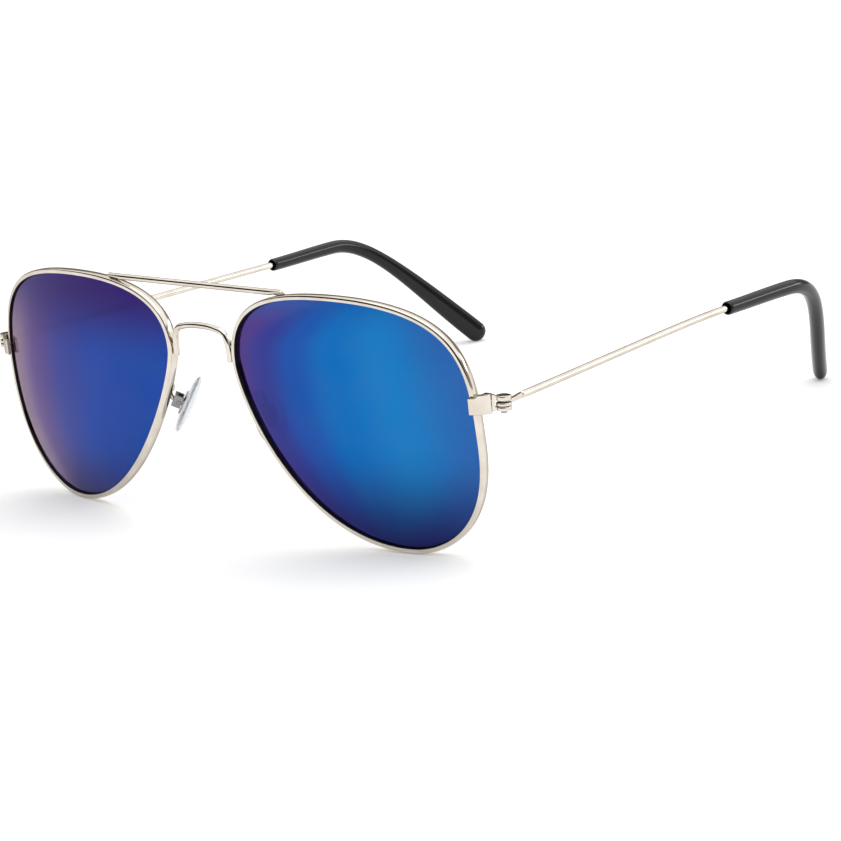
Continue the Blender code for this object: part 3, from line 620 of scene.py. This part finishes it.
def plastic_material():
    """Satin black sleeve with a faint moulded grain."""
    material, tree, shader = new_material("black_tip_plastic")
    cloud = noise(tree, 320.0)
    color = mixed(tree, cloud, (0.003, 0.003, 0.004), (0.006, 0.006, 0.008))
    tree.links.new(color, shader.inputs["Base Color"])
    tree.links.new(spread(tree, noise(tree, 1200.0), 0.12, 0.18), shader.inputs["Roughness"])
    shader.inputs["IOR"].default_value = 1.5
    shader.inputs["Specular IOR Level"].default_value = 0.32
    bump(tree, shader, noise(tree, 2600.0, 2.0), 0.10, 0.00003)
    return material


def silicone_material():
    """Clear pad: soft gloss, a little milky inside."""
    material, tree, shader = new_material("clear_silicone")
    cloud = noise(tree, 400.0)
    color = mixed(tree, cloud, (0.80, 0.82, 0.84), (0.90, 0.91, 0.92))
    tree.links.new(color, shader.inputs["Base Color"])
    tree.links.new(spread(tree, cloud, 0.10, 0.20), shader.inputs["Roughness"])
    shader.inputs["Transmission Weight"].default_value = 0.72
    shader.inputs["IOR"].default_value = 1.20
    bump(tree, shader, noise(tree, 800.0, 2.0), 0.08, 0.00005)
    return material


def floor_material():
    """A white table top, faintly lit from below."""
    material, tree, shader = new_material("pale_floor")
    cloud = noise(tree, 3.0)
    shade = tuple(value * 0.992 for value in FLOOR_COLOR)
    tree.links.new(mixed(tree, cloud, FLOOR_COLOR, shade), shader.inputs["Base Color"])
    shader.inputs["Emission Color"].default_value = (1.0, 1.0, 1.0, 1.0)
    shader.inputs["Emission Strength"].default_value = FLOOR_GLOW
    shader.inputs["Roughness"].default_value = 0.9
    shader.inputs["Specular IOR Level"].default_value = 0.0
    return material


# ---------------------------------------------------------------- rims and lenses
def rim_section(outward):
    """The rim's section as (outwards, depth), with a seat in front of the lens that is painted
    near-black as shade.

    The front corner is rounded more over the upper temple side.
    """
    upper_temple = max(outward.x, 0.0) ** 2 * min(max(outward.z * 4, 0.0), 1.0)
    corner = RIM_CORNER + RIM_EXTRA_CORNER * upper_temple
    corners = (
        ((0.0, 0.0), RIM_INNER_CORNERS[0]),
        ((RIM_WIDTH, 0.0), corner),
        ((RIM_WIDTH, RIM_DEPTH), RIM_BACK_CORNER),
        ((0.0, RIM_DEPTH), RIM_INNER_CORNERS[1]),
    )
    centers = [
        (x + (radius if x == 0 else -radius), y + (radius if y == 0 else -radius), radius)
        for (x, y), radius in corners
    ]
    points = []
    for k, (x, y, radius) in enumerate(centers):
        start = math.pi + k * math.pi / 2
        for i in range(CORNER_STEPS + 1):
            angle = start + math.pi / 2 * i / CORNER_STEPS
            points.append((x + radius * math.cos(angle), y + radius * math.sin(angle)))
        if k == 1:
            points += [(RIM_WIDTH, RIM_DEPTH * share) for share in (0.36, 0.44, 0.52, 0.6, 0.68, 0.76)]
    bowed = []
    for out, depth in points:
        from_middle = 2 * depth / RIM_DEPTH - 1
        bowed.append((out - RIM_BULGE * from_middle**2 * out / RIM_WIDTH, depth))
    return bowed + [(0.0, LENS_BACK), (0.0, LENS_FRONT + SEAT_LIP)]


def make_rim(label, side, silver, dark):
    bm = bmesh.new()
    rings = [
        [point + outward * out + back * depth for out, depth in rim_section(outward)]
        for point, outward, back in rim_stations()
    ]
    seat = len(rings[0]) - 1
    # The seat's side takes the dark material: painted shade for the gap between rim and lens.
    skin(bm, rings, slots=[1 if i == seat else 0 for i in range(len(rings[0]))])
    name = f"rim_shaped_{label}"
    piece(name, bm, (silver, dark), "frame", side, stands_for=(f"rim_{label}",))


def make_lens(label, side, coat):
    """A smooth curved sheet whose edge sits in the rim's groove."""
    bm = bmesh.new()
    stations = rim_stations(LENS_STATIONS)[:-1]
    edge = [point + outward * LENS_EDGE for point, outward, _ in stations]
    middle = Vector((FACE_MIDDLE[0], 0.0, FACE_MIDDLE[1]))
    rows = {}
    for depth in (LENS_FRONT, LENS_BACK):
        rows[depth] = [
            [bm.verts.new(lens_point(*middle.lerp(point, k / LENS_RINGS).xz, depth)) for point in edge]
            for k in range(LENS_RINGS, 0, -1)
        ]
        for outer, inner in zip(rows[depth], rows[depth][1:]):
            for i, start in enumerate(outer):
                j = (i + 1) % len(outer)
                bm.faces.new((start, outer[j], inner[j], inner[i]))
        hub = bm.verts.new(lens_point(*middle.xz, depth))
        last = rows[depth][-1]
        for i, start in enumerate(last):
            bm.faces.new((start, last[(i + 1) % len(last)], hub))
    front, back = rows[LENS_FRONT][0], rows[LENS_BACK][0]
    for i, start in enumerate(front):
        j = (i + 1) % len(front)
        bm.faces.new((start, front[j], back[j], back[i]))
    name = f"lens_coated_{label}"
    piece(name, bm, (coat,), "frame", side, stands_for=(f"lens_{label}",))


# ---------------------------------------------------------------- end pieces and hinges
def strap_point(along, inwards):
    """Plan position of a point along the strap and inwards from the hinge axis."""
    cos, sin = math.cos(STRAP_ANGLE), math.sin(STRAP_ANGLE)
    return (HINGE.x + along * cos - inwards * sin, HINGE.y + along * sin + inwards * cos)


def rim_side(depth, out):
    """Plan position of a point beside the rim, at its split."""
    point, outward, back = rim_stations(FITTING_STATIONS)[0]
    spot = point + outward * out + back * depth
    return (spot.x, spot.y)


def make_end_piece(label, side, silver):
    """A bent strap that laps the rim and runs back to the hinge."""
    inside = STRAP_OUTSIDE + STRAP_THICKNESS
    outline = (
        (rim_side(-LAP_GAP - STRAP_THICKNESS, -FLANGE_OVERHANG), LAP_HIGH),
        (rim_side(-LAP_GAP - STRAP_THICKNESS, RIM_WIDTH), LAP_HIGH),
        (strap_point(STRAP_CORNER, STRAP_OUTSIDE), STRAP_HIGH),
        (strap_point(STRAP_END, STRAP_OUTSIDE), STRAP_HIGH),
        (strap_point(STRAP_END, inside), STRAP_HIGH),
        (strap_point(STRAP_CORNER - LAP_GAP, inside), STRAP_HIGH),
        (rim_side(-LAP_GAP, RIM_WIDTH + LAP_GAP), LAP_HIGH),
        (rim_side(-LAP_GAP, -FLANGE_OVERHANG), LAP_HIGH),
    )
    low = [Vector((x, y, HINGE.z + STRAP_LOW)) for (x, y), _ in outline]
    high = [Vector((x, y, HINGE.z + top)) for (x, y), top in outline]
    bm = bmesh.new()
    skin(bm, (low, high))
    name = f"end_piece_eased_{label}"
    standing = (f"end_piece_{label}",)
    piece(name, bm, (silver,), "frame", side, bevel=STRAP_EASE, stands_for=standing)


def hinge_place():
    return Matrix.Translation(HINGE) @ Euler((-HINGE_LEAN, 0, 0)).to_matrix().to_4x4()


def plan_outline(along, inwards):
    """The corners of a rectangle in line with the strap, seen from above."""
    cos, sin = math.cos(STRAP_ANGLE), math.sin(STRAP_ANGLE)
    (start, end), (outside, inside) = along, inwards
    corners = ((start, outside), (end, outside), (end, inside), (start, inside))
    return [(run * cos - depth * sin, run * sin + depth * cos) for run, depth in corners]


def make_front_hinge(label, side, silver, dark):
    """Upper and lower knuckles, joined to the strap by a web and two lugs."""
    bm = bmesh.new()
    web_end = -KNUCKLE_RADIUS - WEB_CLEAR
    inwards = (STRAP_OUTSIDE, STRAP_OUTSIDE + WEB_DEPTH)
    web = plan_outline((STRAP_END + WEB_GAP, web_end), inwards)
    prism(bm, web, LOWER_KNUCKLE[0] - WEB_RISE, UPPER_KNUCKLE[1] + WEB_RISE)
    lug = plan_outline((web_end - LUG_LAP, LUG_END), inwards)
    for low, high in (UPPER_KNUCKLE, LOWER_KNUCKLE):
        # The knuckles' flat ends take the dark material, painted shade for the gaps between the
        # knuckles.
        eased_disc(bm, KNUCKLE_RADIUS, low, high, end_slot=1)
        prism(bm, lug, low + LUG_SETBACK, high - LUG_SETBACK)
    name = f"front_hinge_eased_{label}"
    standing = (f"front_hinge_{label}",)
    piece(name, bm, (silver, dark), "frame", side, hinge_place(), WEB_EASE, standing)


def make_hinge_screw(label, side, steel):
    """Slotted screw: its low head shows above the upper knuckle and its end below the lower one."""
    bm = bmesh.new()
    crown = UPPER_KNUCKLE[1] + HEAD_CROWN
    rise = CROWN_RADIUS - SLOT_HALF_WIDTH
    steps = 12
    for flank in (1, -1):
        half = []
        for k in range(steps + 1):
            angle = math.pi * k / steps
            aside = flank * (SLOT_HALF_WIDTH + rise * math.sin(angle))
            half.append((CROWN_RADIUS * math.cos(angle), aside))
        prism(bm, half, crown - CROWN_HEIGHT, crown)
    eased_disc(bm, HEAD_RADIUS, crown + HEAD_SPAN[0], crown + HEAD_SPAN[1], HEAD_EASE)
    eased_disc(bm, HINGE_SCREW_RADIUS, *HINGE_SCREW_SPAN)
    name = f"hinge_screw_slotted_{label}"
    standing = (f"hinge_screw_{label}",)
    piece(name, bm, (steel,), "frame", side, hinge_place(), stands_for=standing)


def make_temple_hinge(label, side, silver, dark):
    """The middle knuckle and its slim leaf, which runs to the wire's start."""
    low, high = TEMPLE_KNUCKLE
    bm = bmesh.new()
    # The knuckle's flat ends take the dark material, painted shade for the gaps between the knuckles.
    eased_disc(bm, KNUCKLE_RADIUS, low, high, end_slot=1)
    end = hinge_place().inverted() @ WIRE_START
    start = Vector((0.0, 0.0, (low + high) / 2))
    across = Vector((LEAF_THICK / 2, 0.0, 0.0))
    rings = []
    for spot, height in ((start, high - low - LAP_GAP), (end, LEAF_END_HEIGHT)):
        up = Vector((0.0, 0.0, height / 2))
        rings.append([spot - across - up, spot + across - up, spot + across + up, spot - across + up])
    skin(bm, rings)
    name = f"temple_hinge_eased_{label}"
    body = f"temple_{label}"
    standing = (f"temple_hinge_{label}",)
    piece(name, bm, (silver, dark), body, side, hinge_place(), LEAF_EASE, standing)


# ---------------------------------------------------------------- temples
def temple_path():
    """The wire's centre line from hinge leaf to tip, and the sleeve mouth's place in it.

    The handles are shares of the distances between the points, so the line has no kink.
    """
    settle = (BEND_KNEE - BEND_START) * 0.9
    lead = WIRE_START.lerp(SLEEVE_START, 0.4)
    straight = cubic(WIRE_START, lead, SLEEVE_START - settle * 0.9, SLEEVE_START)
    level = cubic(SLEEVE_START, SLEEVE_START + settle * 0.5, BEND_START - settle * 0.6, BEND_START)
    bend = cubic(BEND_START, BEND_KNEE, BEND_SHIN, TIP_END)
    return joined([straight, level, bend]), len(straight) - 1


def make_temple_wire(label, side, silver):
    path, mouth = temple_path()
    stations = np.linspace(0.0, run_length(path)[mouth] + WIRE_IN_SLEEVE, 60)
    bm = bmesh.new()
    rod(bm, points_at(path, stations), WIRE_RADIUS, Vector((1, 0, 0)), 32, 0.5)
    name = f"temple_wire_drawn_{label}"
    standing = (f"temple_wire_{label}",)
    piece(name, bm, (silver,), f"temple_{label}", side, stands_for=standing)


def sleeve_section(share):
    """Half thickness and half width of the sleeve at this share of its length."""
    radius = SLEEVE_RADIUS + (SLEEVE_FULLEST - SLEEVE_RADIUS) * min(share / FLATTENS_FROM, 1.0)
    swell = min(max((share - FLATTENS_FROM) / FLATTENS_OVER, 0.0), 1.0)
    swell = swell * swell * (3 - 2 * swell)
    thick = radius + (PADDLE_HALF_THICK - radius) * swell
    return thick, radius + (PADDLE_HALF_WIDTH - radius) * swell


def make_temple_tip(label, side, plastic):
    """A sleeve with a countersunk mouth, flattened and rounded at the ear end."""
    path, mouth = temple_path()
    run = run_length(path)
    start = run[mouth]
    length = run[-1] - start
    nose = PADDLE_HALF_WIDTH
    body = np.linspace(start + MOUTH_LIP, run[-1] - nose, 110)
    angles = np.linspace(0.0, math.pi / 2, 14)[1:]
    stations = np.concatenate([[start], body, run[-1] - nose + nose * np.sin(angles)])
    shrink = np.concatenate([[MOUTH_SHRINK], np.ones(len(body)), np.cos(angles).clip(0.05)])
    sides = 40
    rings = []
    frames = path_frames(points_at(path, stations), TIP_FLAT)
    for (point, _, across, up), distance, scale in zip(frames, stations, shrink):
        thick, wide = sleeve_section((distance - start) / length)
        rings.append(circle(point, across, up, thick * scale, wide * scale, sides))
    depths = np.array([start + depth for depth, _ in MOUTH_BORE])
    frames = path_frames(points_at(path, depths), TIP_FLAT)
    throat = []
    for (point, _, across, up), (_, radius) in zip(frames, MOUTH_BORE):
        throat.append(circle(point, across, up, radius, radius, sides))
    bm = bmesh.new()
    skin(bm, list(reversed(throat)) + rings)
    name = f"temple_tip_moulded_{label}"
    standing = (f"temple_tip_{label}",)
    piece(name, bm, (plastic,), f"temple_{label}", side, stands_for=standing)


# ---------------------------------------------------------------- bridge and brow bar
def bridge_path():
    across, up = np.array((1.0, 0.0)), np.array((0.0, 1.0))
    shoulder, leg, top = np.array(BRIDGE_SHOULDER), np.array(BRIDGE_LEG), up * BRIDGE_TOP_Z
    inner, outer = (shoulder + np.array(handle) for handle in BRIDGE_ELBOW)
    half = joined(
        [
            cubic(top, top + across * BRIDGE_CROWN_REACH, inner, shoulder, 24),
            cubic(shoulder, outer, leg + up * BRIDGE_LEG_REACH, leg, 40),
        ]
    )
    mirrored = half[::-1] * np.array([-1.0, 1.0])
    arch = joined([mirrored, half])
    return np.stack([arch[:, 0], np.full(len(arch), BRIDGE_Y), arch[:, 1]], axis=1)


def make_bridge(silver):
    bm = bmesh.new()
    rod(bm, bridge_path(), BRIDGE_RADIUS, Vector((0, 1, 0)), 32, 0.3)
    piece("bridge_drawn", bm, (silver,), "frame", stands_for=("bridge",))


def make_brow_bar(silver):
    """A straight rod whose scarfed ends rest on both rims."""
    back, up = Vector((0, 1, 0)), Vector((0, 0, 1))
    shoulder = BAR_HALF_LENGTH - BAR_SCARF
    far_end = np.linspace(-BAR_HALF_LENGTH, -shoulder, 10)
    rings = []
    for x in np.concatenate([far_end, -far_end[::-1]]):
        share = 1.0 - 0.5 * max(abs(x) - shoulder, 0.0) / BAR_SCARF
        height = BAR_RADIUS * share
        middle = Vector((x, BAR_Y, BAR_Z + BAR_RADIUS - height))
        rings.append(circle(middle, back, up, BAR_RADIUS, height, 32))
    bm = bmesh.new()
    skin(bm, rings)
    standing = ("brow_bar",)
    piece("brow_bar_drawn", bm, (silver,), "frame", bevel=BAR_EASE, stands_for=standing)


def make_braze(name, side, silver, points, radii, lateral):
    """A tapered run of braze that fills a joint between two wires."""
    bm = bmesh.new()
    frames = path_frames(np.array([tuple(p) for p in points]), lateral)
    skin(bm, [circle(p, across, up, r, r, 20) for (p, _, across, up), r in zip(frames, radii)])
    made = piece(name, bm, (silver,), "frame", side)
    rounding = made.modifiers.new("Soft", "SUBSURF")
    rounding.levels = rounding.render_levels = 1


def braze_radii(count, start, end):
    """Radii that swell and shrink again, between two shares of a half turn."""
    shares = np.linspace(start, end, count)
    return [BRAZE_RADIUS * math.sin(math.pi * share) for share in shares]


def make_brazes(label, side, silver):
    """The braze along the bridge's leg and the one under the brow bar's end."""
    back = Vector((0, 1, 0))
    leg = [Vector(point) for point in bridge_path() if point[0] > 0 and point[2] < BRIDGE_BRAZE_TOP]
    points = [point + BRIDGE_BRAZE_SHIFT for point in leg[::3]]
    make_braze(f"bridge_braze_{label}", side, silver, points, braze_radii(len(points), 0.12, 0.88), back)
    start, end = BAR_BRAZE_SPAN
    spots = []
    for x in np.linspace(start, end, BAR_BRAZE_SPOTS):
        drop = BAR_BRAZE_DROP + BAR_BRAZE_SLOPE * (end - x)
        spots.append(Vector((x, BAR_Y + BAR_BRAZE_BACK, BAR_Z - drop)))
    make_braze(f"bar_braze_{label}", side, silver, spots, braze_radii(BAR_BRAZE_SPOTS, 0.08, 0.88), back)


# ---------------------------------------------------------------- nose pads
def pad_axes():
    """Unit axes of a left nose pad: down its length, towards the nose, and across its width."""
    down = Vector((math.tan(PAD_SPLAY), -math.tan(PAD_RAKE), -1.0)).normalized()
    nose = Vector((-math.cos(PAD_TURN), math.sin(PAD_TURN), 0.0))
    nose = (nose - down * nose.dot(down)).normalized()
    return down, nose, down.cross(nose)


def pad_place():
    """From the pad's own axes, across, towards the nose and up its length, to its place."""
    down, nose, across = pad_axes()
    axes = Matrix((across, nose, -down)).transposed().to_4x4()
    return Matrix.Translation(PAD_PIVOT) @ axes


def make_pad_arm(label, side, silver):
    stations = rim_stations(FITTING_STATIONS)
    point, outward, back = min(stations, key=lambda station: (station[0] - ARM_FOOT).length)
    start = point + outward * (RIM_WIDTH * 0.45) + back * (RIM_DEPTH - ARM_SINK)
    _, nose, _ = pad_axes()
    end = PAD_PIVOT - nose * (BOX_SIZE / 2 - ARM_SINK)
    first = cubic(start, start + back * ARM_LEAD, ARM_CREST - ARM_SWEEP, ARM_CREST, 24)
    second = cubic(ARM_CREST, ARM_CREST + ARM_SWEEP, end - nose * ARM_TAIL, end, 24)
    bm = bmesh.new()
    rod(bm, joined([first, second]), ARM_RADIUS, Vector((1, 0, 0)), 20, 0.3)
    name = f"pad_arm_bent_{label}"
    standing = (f"pad_arm_{label}",)
    piece(name, bm, (silver,), "frame", side, stands_for=standing)


def make_nose_pad(label, side, silicone):
    """A soft oval pad, fuller at its lower end, domed towards the nose."""
    rings = []
    for k in range(PAD_LAYERS + 1):
        share = k / PAD_LAYERS
        swell = math.sin(math.pi * (0.14 + 0.80 * share)) ** 0.55
        scale = swell * (1.0 - PAD_TAPER * share)
        ring = []
        for i in range(PAD_SIDES):
            angle = math.tau * i / PAD_SIDES
            fuller = 1.0 - PAD_FULLNESS * math.sin(angle)
            x = PAD_WIDTH / 2 * scale * fuller * math.cos(angle)
            z = PAD_LENGTH / 2 * scale * math.sin(angle)
            ring.append(Vector((x, PAD_STANDOFF + PAD_THICKNESS * share, z)))
        rings.append(ring)
    bm = bmesh.new()
    skin(bm, rings)
    name = f"nose_pad_soft_{label}"
    body = f"nose_pad_{label}"
    piece(name, bm, (silicone,), body, side, pad_place(), stands_for=(body,))


# ---------------------------------------------------------------- studio
def make_floor():
    bm = bmesh.new()
    bmesh.ops.create_grid(bm, x_segments=12, y_segments=12, size=FLOOR_REACH)
    mesh = bpy.data.meshes.new("floor")
    bm.to_mesh(mesh)
    bm.free()
    mesh.materials.append(floor_material())
    floor = bpy.data.objects.new("floor", mesh)
    bpy.context.scene.collection.objects.link(floor)


def make_room():
    """A white room with low grey walls, a dark front, and a strip light in its open back corner."""
    world = bpy.data.worlds.new("studio")
    bpy.context.scene.world = world
    world.use_nodes = True
    tree = world.node_tree
    background = tree.nodes["Background"]
    place = node(tree, "ShaderNodeTexCoord")
    split = node(tree, "ShaderNodeSeparateXYZ")
    tree.links.new(place.outputs["Generated"], split.inputs["Vector"])
    height, x, y = split.outputs["Z"], split.outputs["X"], split.outputs["Y"]

    def product(first, second):
        made = node(tree, "ShaderNodeMath", operation="MULTIPLY")
        tree.links.new(first, made.inputs[0])
        tree.links.new(second, made.inputs[1])
        return made.outputs[0]

    def band(rise, fall):
        return product(spread(tree, height, 0.0, 1.0, *rise), spread(tree, height, 1.0, 0.0, *fall))

    corner = product(spread(tree, x, 0.0, 1.0, *CORNER_ACROSS), spread(tree, y, 0.0, 1.0, *CORNER_DEPTH))
    front = product(band(*FRONT_FADE), spread(tree, y, 1.0, 0.0, *FRONT_DEPTH))
    lit = mixed(tree, band(*WALL_FADE), ROOM_LIGHT, WALL_COLOR)
    lit = mixed(tree, corner, lit, ROOM_LIGHT)
    lit = mixed(tree, front, lit, FRONT_COLOR)
    lit = mixed(tree, product(band(*STRIP_FADE), corner), lit, STRIP_COLOR)
    tree.links.new(lit, background.inputs["Color"])


def make_light():
    """One large soft ceiling panel."""
    light = bpy.data.lights.new("ceiling_panel", "AREA")
    light.shape = "RECTANGLE"
    light.size, light.size_y = PANEL_SIZE
    light.energy = PANEL_WATTS
    panel = bpy.data.objects.new("ceiling_panel", light)
    panel.location = PANEL_PLACE
    panel.rotation_euler = [math.radians(angle) for angle in PANEL_TILT]
    bpy.context.scene.collection.objects.link(panel)


def make_camera():
    data = bpy.data.cameras.new("camera")
    data.lens = CAMERA_LENS_MM
    data.sensor_width = 36.0
    data.clip_start = 0.01
    camera = bpy.data.objects.new("camera", data)
    camera.location = CAMERA_PLACE
    camera.rotation_euler = [math.radians(angle) for angle in CAMERA_TURN]
    bpy.context.scene.collection.objects.link(camera)
    bpy.context.scene.camera = camera


def repaint(name, material):
    """Gives a kept CAD node its material."""
    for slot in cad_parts[name].material_slots:
        slot.link = "OBJECT"
        slot.material = material


def main():
    silver = silver_material("silver_wire", (0.74, 0.69, 0.61), (0.66, 0.60, 0.52), (0.05, 0.10))
    steel = silver_material("steel_fittings", (0.32, 0.31, 0.30), (0.21, 0.205, 0.21), (0.06, 0.12))
    # The dark material is painted shade, put on the rim's seat and on the hinge knuckles' flat ends.
    dark = painted_shade_material()
    plastic = plastic_material()
    silicone = silicone_material()
    for side, label in SIDES:
        make_rim(label, side, silver, dark)
        make_lens(label, side, lens_material(f"mirror_coat_{label}", **COATS[label]))
        make_end_piece(label, side, silver)
        make_front_hinge(label, side, silver, dark)
        make_hinge_screw(label, side, steel)
        make_temple_hinge(label, side, silver, dark)
        make_temple_wire(label, side, silver)
        make_temple_tip(label, side, plastic)
        make_brazes(label, side, silver)
        make_pad_arm(label, side, silver)
        make_nose_pad(label, side, silicone)
        for name in KEPT:
            repaint(f"{name}_{label}", steel)
    make_bridge(silver)
    make_brow_bar(silver)
    make_floor()
    make_room()
    make_light()
    make_camera()
    bpy.context.scene.view_settings.view_transform = "Standard"


main()
